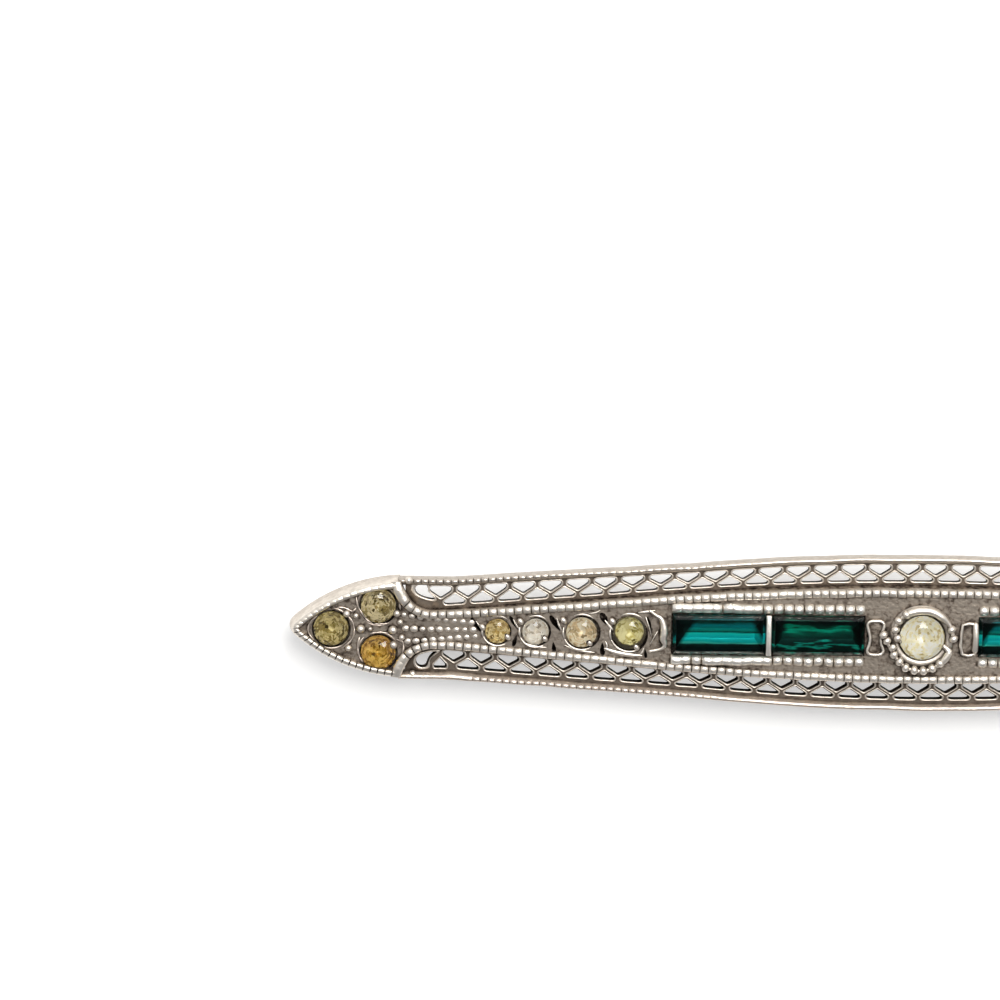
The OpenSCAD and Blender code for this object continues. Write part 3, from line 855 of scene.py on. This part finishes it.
# The rail's section in the same way, inwards from its outer side.
rail_section = [
    (0.02, channel_floor, 0), (0.0, 1.25, 0.1), (0.03, 1.45, 0.6), (0.12, 1.62, 0.9),
    (0.24, 1.72, 1), (0.35, 1.76, 1), (0.47, 1.72, 1), (0.59, 1.62, 0.9), (0.68, 1.45, 0.6),
    (0.7, 1.25, 0.1), (0.68, channel_floor, 0),
]
divider = 0.32
worn_blocks = 9


def add_block(bm, middle, size):
    bmesh.ops.create_cube(bm, size=1, matrix=Matrix.Translation(middle) @ Matrix.Diagonal((*size, 1)))


divider_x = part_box("baguette_right_inner")[1].x / MM + divider / 2 + 0.03
bm = bmesh.new()
for end in (-1, 1):
    add_block(bm, (end * divider_x, 0, 1.1), (divider, 2 * channel_half, 1.5))
bmesh.ops.bevel(bm, geom=bm.edges[:], offset=0.08, segments=3, profile=0.5, affect="EDGES", material=-1)
rail_blocks = round((channel_out - channel_in) / rail_pitch)
for end in (-1, 1):
    for side in (-1, 1):
        keep = [
            hand.choice((0.25, 0.9)) if i > worn_blocks else hand.uniform(0.85, 1.1)
            for i in range(rail_blocks + 2)
        ]

        def rail_place(t, inwards, height):
            x = channel_in + t * (channel_out - channel_in) / rail_blocks
            flow = 0.04 * uneven(x * 1.3, side + 2 * end)
            return Vector((end * x, side * (rail_y + rail_half - inwards + flow), height + flow))

        cut_bar(
            bm, rail_blocks, rail_section, rail_place, lambda t: rail_cut_depth * keep[round(t)], rail_profile
        )
add_piece(bm, "channel_rails", [rail_metal], sharp=60)

# Brackets: a plate with a raised wavy edge at each end of each channel, cast with the spine.
# The inner two are framed all round; the outer two have one thick edge towards the baguettes.
bracket_top = 1.72
bracket_out = 15.6
divider_edge = 0.2
bm = bmesh.new()
hourglass = mirrored_outline([
    (0, 0.97), (0.3, 0.96), (0.5, 0.78), (0.44, 0.42), (0.33, 0.02), (0.36, -0.45), (0.5, -0.82),
    (0.34, -1.06), (0, -1.1),
])
box_frame = [
    (0.0, 0.88), (0.34, 0.85), (0.5, 0.6), (0.44, 0.1), (0.46, -0.5), (0.36, -1.0), (0, -1.1),
    (-0.36, -1.0), (-0.48, -0.5), (-0.44, 0.3), (-0.36, 0.8),
]
for x, outline in ((-2.78, hourglass), (2.8, box_frame)):
    loop = [(x + px, py, bracket_top) for px, py in [*outline, outline[0]]]
    add_wire(bm, loop, 0.1, 1.1, ring=True)
wavy_edge = [
    (-0.72, 1.44), (-0.36, 1.17), (-0.06, 0.98), (0.1, 0.62), (0.15, 0.13), (0.1, -0.3), (0.2, -0.61),
    (0.04, -0.85), (-0.36, -0.98), (-0.72, -1.04),
]
scratches = [[(-0.96, 1.0), (-0.72, 0.3), (-0.6, -0.17)], [(-0.66, -0.65), (-0.24, 0.14)]]
for end in (-1, 1):
    path = [(end * (bracket_out - p.x), p.y, bracket_top - 0.05) for p in curve_through(wavy_edge, 4)]
    add_wire(bm, path, lambda t: 0.08 + 0.15 * math.sin(math.pi * min(1, 1.1 * t)) ** 3, 0.9, sides=10)
    for scratch in scratches:
        add_wire(bm, [(end * (bracket_out - px), py, 1.4) for px, py in scratch], 0.04, 1.2, sides=6)
bar = [(3.2, 0.8, bracket_top), (3.24, 0.0, bracket_top), (3.2, -0.8, bracket_top)]
add_wire(bm, bar, divider_edge, 0.9)
add_piece(bm, "bracket_edges", [rubbed_metal], sharp=70)
bm = bmesh.new()
for x in (-15.75, -2.78, 2.8, 15.75):
    loop = [(x + px * 0.98, py * 0.98) for px, py in hourglass]
    plate = bm.faces.new(add_loop(bm, loop, channel_floor - 0.05))
    for vert in new_verts(bmesh.ops.extrude_face_region(bm, geom=[plate], use_keep_orig=True)):
        vert.co.z = 1.55 if abs(x) < 10 else 1.38
add_piece(bm, "bracket_plates", [field_metal], sharp=35)

# Collar: two arcs of beaded wire laid round the centre stone, the lower one hooked in to it.
# They stand on a plain round seat.
centre_r = stone_seat("centre_stone")[1]
bm = bmesh.new()
ring_steps = 48
# One row for each point of the seat's section: distance from its middle, height.
seat_section = [
    (centre_r + 0.06, 0.5), (centre_r + 0.06, 1.6), (centre_r + 0.14, 1.68), (1.8, 1.66), (2.0, 1.5),
    (2.0, 0.5),
]


def seat_point(row, column):
    radius, height = seat_section[column]
    turn = math.tau * row / ring_steps
    return Vector((radius * math.cos(turn), radius * math.sin(turn), height))


sheet_of(bm, ring_steps, len(seat_section), seat_point)
# Each arc: its points, and the beads that still stand out from the wire.
collar_arcs = [
    (
        [(-1.28, -0.25), (-1.5, 0.0), (-1.64, 0.49), (-1.46, 1.0), (-1.0, 1.4), (-0.5, 1.6), (0, 1.66),
         (0.6, 1.58), (1.1, 1.3), (1.5, 0.95), (1.74, 0.55), (1.88, -0.06)],
        [(-1.48, -0.02), (-1.62, 0.49), (-1.44, 1.04), (-0.98, 1.41), (1.74, 0.53), (1.87, -0.04)],
    ),
    (
        [(-2.3, 0.2), (-2.15, -0.2), (-1.86, -0.65), (-1.64, -1.08), (-1.32, -1.47), (-0.94, -1.82),
         (-0.42, -2.0), (0.12, -2.04), (0.66, -1.88), (1.14, -1.55), (1.5, -1.15), (1.62, -0.8),
         (1.3, -0.48)],
        [(-2.32, 0.16), (-2.1, -0.2), (-1.76, -0.6), (-1.66, -1.04), (-1.32, -1.47), (-0.94, -1.84),
         (-0.42, -1.99), (0.12, -2.02), (0.66, -1.86), (1.12, -1.55)],
    ),
]
collar_top = 1.84
collar_bead = 0.28


def upper_wire(t):
    """Half the upper wire's thickness: its beads are worn together into a smooth band at the top."""
    return 0.11 + between(t, 0.3, 0.42, 0, 0.14) - between(t, 0.72, 0.85, 0, 0.12)


def lower_wire(t):
    """Half the lower wire's thickness: it ends in a plain hook at the right."""
    return 0.12 + between(t, 0.68, 0.8, 0, 0.12) - between(t, 0.88, 1, 0, 0.1)


for (points, beads), thickness in zip(collar_arcs, (upper_wire, lower_wire)):
    arc = curve_through(points, 4)
    add_wire(bm, [(p.x, p.y, collar_top) for p in arc], thickness, 1, sides=10)
    for bead in beads:
        near = min(range(1, len(arc) - 1), key=lambda i: (arc[i] - Vector(bead)).length)
        heading = math.atan2(arc[near + 1].y - arc[near - 1].y, arc[near + 1].x - arc[near - 1].x)
        add_ball(bm, (*bead, collar_top + 0.01), collar_bead, (0.9, 1.02, 0.95), heading + 0.3)
add_piece(bm, "collar", [rubbed_metal], sharp=60)


# Round stones: brilliant-cut paste, a glass crown over a back that is painted with metal foil.
# The old foil is mottled, so each stone has its own tint between nearly clear, gold and olive.
def paste_glass(name, tint):
    """Clear lead glass, lightly tinted, with a few scratches on its facets."""
    material, tree = new_material(name)
    place = add_node(tree, "TexCoord").outputs["Object"]
    scratched = add_node(tree, "TexNoise", {"Vector": place, "Scale": 1 / (0.3 * MM), "Detail": 3})
    gloss = add_node(tree, "MapRange", {"Value": scratched, "From Min": 0.5, "To Min": 0.02, "To Max": 0.12})
    surface = {"Base Color": linear(tint), "Roughness": gloss, "IOR": 1.55, "Transmission Weight": 1}
    add_node(tree, "OutputMaterial", {"Surface": add_node(tree, "BsdfPrincipled", surface)})
    return material


def aged_foil(name, light, middle, dark, shine, place, crescent):
    """Metal foil painted on the back of a stone, broken up with age into fine specks. Where it has
    worn off, past the lower edge of a circle round place (mm), the stone is brown."""
    material, tree = new_material(name)
    point = add_node(tree, "TexCoord").outputs["Object"]
    specks = add_node(tree, "TexVoronoi", {"Vector": point, "Scale": 1 / (0.18 * MM)}).outputs["Color"]
    patches = add_node(tree, "TexNoise", {"Vector": point, "Scale": 1 / (0.45 * MM), "Detail": 3})
    blend = {"Factor": 0.45, "A": specks, "B": patches.outputs["Color"]}
    both = add_node(tree, "Mix", blend, data_type="RGBA").outputs["Result"]
    tint = add_node(tree, "ValToRGB", {"Fac": both})
    set_ramp(tint, [(0.26, dark), (0.43, middle), (0.6, light)])
    own = add_node(tree, "Mapping", {"Vector": point, "Location": [-p * MM for p in place]})
    reach = add_node(tree, "VectorMath", {0: own}, operation="LENGTH").outputs["Value"]
    edge = {"From Min": crescent * MM, "From Max": (crescent + 0.1) * MM}
    worn = add_node(tree, "MapRange", {"Value": reach, **edge})
    blend = {"Factor": worn, "A": tint, "B": linear("4a4138")}
    colour = add_node(tree, "Mix", blend, data_type="RGBA").outputs["Result"]
    tilt = add_node(tree, "Bump", {"Height": specks, "Strength": 0.5, "Distance": 0.05 * MM})
    surface = {"Base Color": colour, "Metallic": shine, "Roughness": 0.4, "Normal": tilt}
    add_node(tree, "OutputMaterial", {"Surface": add_node(tree, "BsdfPrincipled", surface)})
    return material


def cut_stone(name, rings, glass, foil):
    """A stone as the hull of its rings; the facets that face down carry the foil."""
    bm = bmesh.new()
    for ring in rings:
        for point in ring:
            bm.verts.new(point)
    bmesh.ops.convex_hull(bm, input=bm.verts[:])
    bmesh.ops.dissolve_limit(bm, angle_limit=math.radians(1), verts=bm.verts, edges=bm.edges)
    bmesh.ops.translate(bm, vec=(0, 0, -back_z / MM), verts=bm.verts)
    for face in bm.faces:
        face.normal_update()
        face.material_index = 1 if face.normal.z < -0.1 else 0
    add_piece(bm, f"{name}_cut", [glass, foil], sharp=3, stands_for=name)


# One row for each kind of stone: glass, then light, middle and dark foil, and how mirror-like the
# foil still is.
stone_tints = {
    "centre_stone": ("fffff8", "ffffff", "fff8d8", "d2be84", 0.35),
    "leaf_stone_tip": ("fdf9e6", "f3e8ba", "a8975c", "4a4020", 0.45),
    "leaf_stone_upper": ("fdf9ea", "fdf4d6", "ad9c68", "4c3f22", 0.45),
    "leaf_stone_lower": ("fdf6da", "fde08a", "bd9434", "5a4114", 0.45),
    "row_stone_1": ("fefbee", "fff2c8", "d2b674", "68521f", 0.45),
    "row_stone_2": ("fffefc", "fffcf4", "f4ead8", "8c7e6a", 0.25),
    "row_stone_3": ("fffdf6", "fffaea", "f0dab0", "806c4a", 0.25),
    "row_stone_4": ("fefcec", "fffad0", "dccf82", "6a5e2c", 0.25),
}
slot_of = {part["node"]: part["material_slot"] for part in frame["record"]["subparts"]}
for node in stone_nodes:
    low, high = (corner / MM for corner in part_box(node))
    middle, radius = (low + high) / 2, (high.x - low.x) / 2
    crown = 0.34 if node.startswith("leaf") else 0.45 if node.startswith("centre") else radius * 0.32
    girdle = high.z - crown
    turn = hand.uniform(0, 0.7)
    rings = [
        circle_points(middle, radius * 0.56, 8, high.z, turn),
        circle_points(middle, radius * 0.84, 8, girdle + crown * 0.45, turn + math.pi / 8),
        circle_points(middle, radius, 32, girdle + 0.03, turn),
        circle_points(middle, radius, 32, girdle - 0.03, turn),
        circle_points(middle, radius * 0.55, 8, (girdle + low.z) / 2 - 0.08, turn),
        circle_points(middle, radius * 0.06, 8, low.z, turn),
    ]
    tint, light, mid, dark, shine = stone_tints[node.replace("_left", "").replace("_right", "")]
    shift = 0.22 if node.endswith("_4") else 0
    bright = (middle.x, middle.y + shift, low.z)
    glass = paste_glass(f"{node}_glass", tint)
    foil = aged_foil(f"{node}_foil", light, mid, dark, shine, bright, radius + 0.25 - 1.6 * shift)
    cut_stone(node, rings, glass, foil)


# Baguettes: long step-cut stones of emerald glass with a foiled back.
# The foil carries painted reflections: teal bands of reflected light under the flat strips along
# the keel, and painted near-black dark reflections under the steep steps round them.
def foil_with_painted_reflections(name, middle_x, half, bands, streaks):
    """Foil behind a baguette, painted with reflections: bands of reflected colour along it, broken by
    streaks, and painted black at its edges as dark reflections of the steep steps.
    The bands' places go across the stone, from 0 at its lower edge to 1 at its upper edge."""
    material, tree = new_material(name)
    place = add_node(tree, "TexCoord").outputs["Object"]
    own = add_node(tree, "Mapping", {"Vector": place, "Location": (-middle_x * MM, 0, 0)})
    drawn = add_node(tree, "Mapping", {"Vector": place, "Scale": (0.18, 1, 1)})
    wave = add_node(tree, "TexNoise", {"Vector": drawn, "Scale": 1 / (0.4 * MM), "Detail": 4})
    axes = add_node(tree, "SeparateXYZ", {"Vector": own})
    width = {"From Min": -1.2 * MM, "From Max": 1.2 * MM}
    across = add_node(tree, "MapRange", {"Value": axes.outputs["Y"], **width})
    bent = add_node(tree, "MapRange", {"Value": wave, "To Min": -streaks, "To Max": streaks})
    band = add_node(tree, "Math", {0: across, 1: bent}, operation="ADD")
    tint = add_node(tree, "ValToRGB", {"Fac": band})
    set_ramp(tint, bands)
    along = add_node(tree, "Math", {0: axes.outputs["X"]}, operation="ABSOLUTE")
    slanted = add_node(tree, "Math", {0: band, 1: 1.55 * MM, 2: along}, operation="MULTIPLY_ADD")
    # Past the ends and edges the foil is painted nearly black: painted dark reflections of the steep steps.
    edge = {"From Min": half * MM, "From Max": (half + 0.3) * MM, "To Min": 1, "To Max": 0.01}
    inside = add_node(tree, "MapRange", {"Value": slanted, **edge})
    colour = add_node(tree, "VectorMath", {0: tint, "Scale": inside}, operation="SCALE")
    surface = {"Base Color": colour, "Metallic": 0.4, "Roughness": 0.3}
    add_node(tree, "OutputMaterial", {"Surface": add_node(tree, "BsdfPrincipled", surface)})
    return material


emerald = paste_glass("emerald_glass_body", "6fe4da")
# Ramps of painted reflections across a baguette: teal bands of reflected light between near-black dark
# reflections.
painted_bright_reflections = [
    (0, "000202"), (0.22, "010a09"), (0.255, "86d8cc"), (0.285, "0cb8b8"), (0.4, "16d8e4"), (0.49, "30f4f0"),
    (0.52, "022c28"), (0.57, "0a968c"), (0.7, "0baebe"), (0.77, "054e4a"), (0.8, "043c36"), (0.85, "010504"),
    (1, "000202"),
]
painted_dark_reflections = [
    (0, "000000"), (0.17, "021412"), (0.21, "3ac0ac"), (0.25, "011411"), (0.42, "042f28"), (0.55, "075c4c"),
    (0.64, "16c8a4"), (0.7, "05493c"), (0.78, "010706"), (1, "000000"),
]
baguette_crown = 0.355
# One row for each step: in from the girdle, height from the girdle.
baguette_steps = [(0.25, 0.35), (0.12, 0.22), (0, 0.05), (0, -0.05), (0.35, -0.5), (0.9, -0.85)]
for node in slot_of:
    if not node.startswith("baguette"):
        continue
    low, high = (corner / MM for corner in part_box(node))
    middle = (low + high) / 2
    half = (high.x - low.x) / 2
    girdle = high.z - baguette_crown
    rings = []
    for inwards, height in baguette_steps:
        along, across = half - inwards * 0.7, (high.y - low.y) / 2 - inwards
        z = girdle + height
        rings.append([(middle.x + i * along, middle.y + j * across, z) for i in (-1, 1) for j in (-1, 1)])
    # Two baguettes show bright painted reflections and two show darker ones.
    bright = node in ("baguette_left_outer", "baguette_right_inner")
    bands, streaks = (painted_bright_reflections, 0.06) if bright else (painted_dark_reflections, 0.28)
    shift = 0.28 if node.endswith("left_outer") else 0
    foil = foil_with_painted_reflections(f"{node}_foil", middle.x + shift, half, bands, streaks)
    cut_stone(node, rings, emerald, foil)


# Pin: the hinge block, straight stem and round catch of the back, in satin steel.
def satin_steel(name):
    """Drawn steel wire, with fine lines along it that blur its shine."""
    material, tree = new_material(name)
    place = add_node(tree, "TexCoord").outputs["Object"]
    along = add_node(tree, "Mapping", {"Vector": place, "Scale": (0.04, 1, 1)})
    lines = add_node(tree, "TexNoise", {"Vector": along, "Scale": 1 / (0.08 * MM), "Detail": 2})
    tint = add_node(tree, "ValToRGB", {"Fac": lines})
    set_ramp(tint, [(0, "8a8783"), (1, "cfccc8")])
    gloss = add_node(tree, "MapRange", {"Value": lines, "To Min": 0.25, "To Max": 0.45})
    bump = add_node(tree, "Bump", {"Height": lines, "Strength": 0.2, "Distance": 0.01 * MM})
    surface = {"Base Color": tint, "Metallic": 1, "Roughness": gloss, "Normal": bump}
    add_node(tree, "OutputMaterial", {"Surface": add_node(tree, "BsdfPrincipled", surface)})
    return material


pin = frame["nodes"]["pin_and_catch"]
pin.data.materials.clear()
pin.data.materials.append(satin_steel("satin_steel"))

low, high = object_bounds()
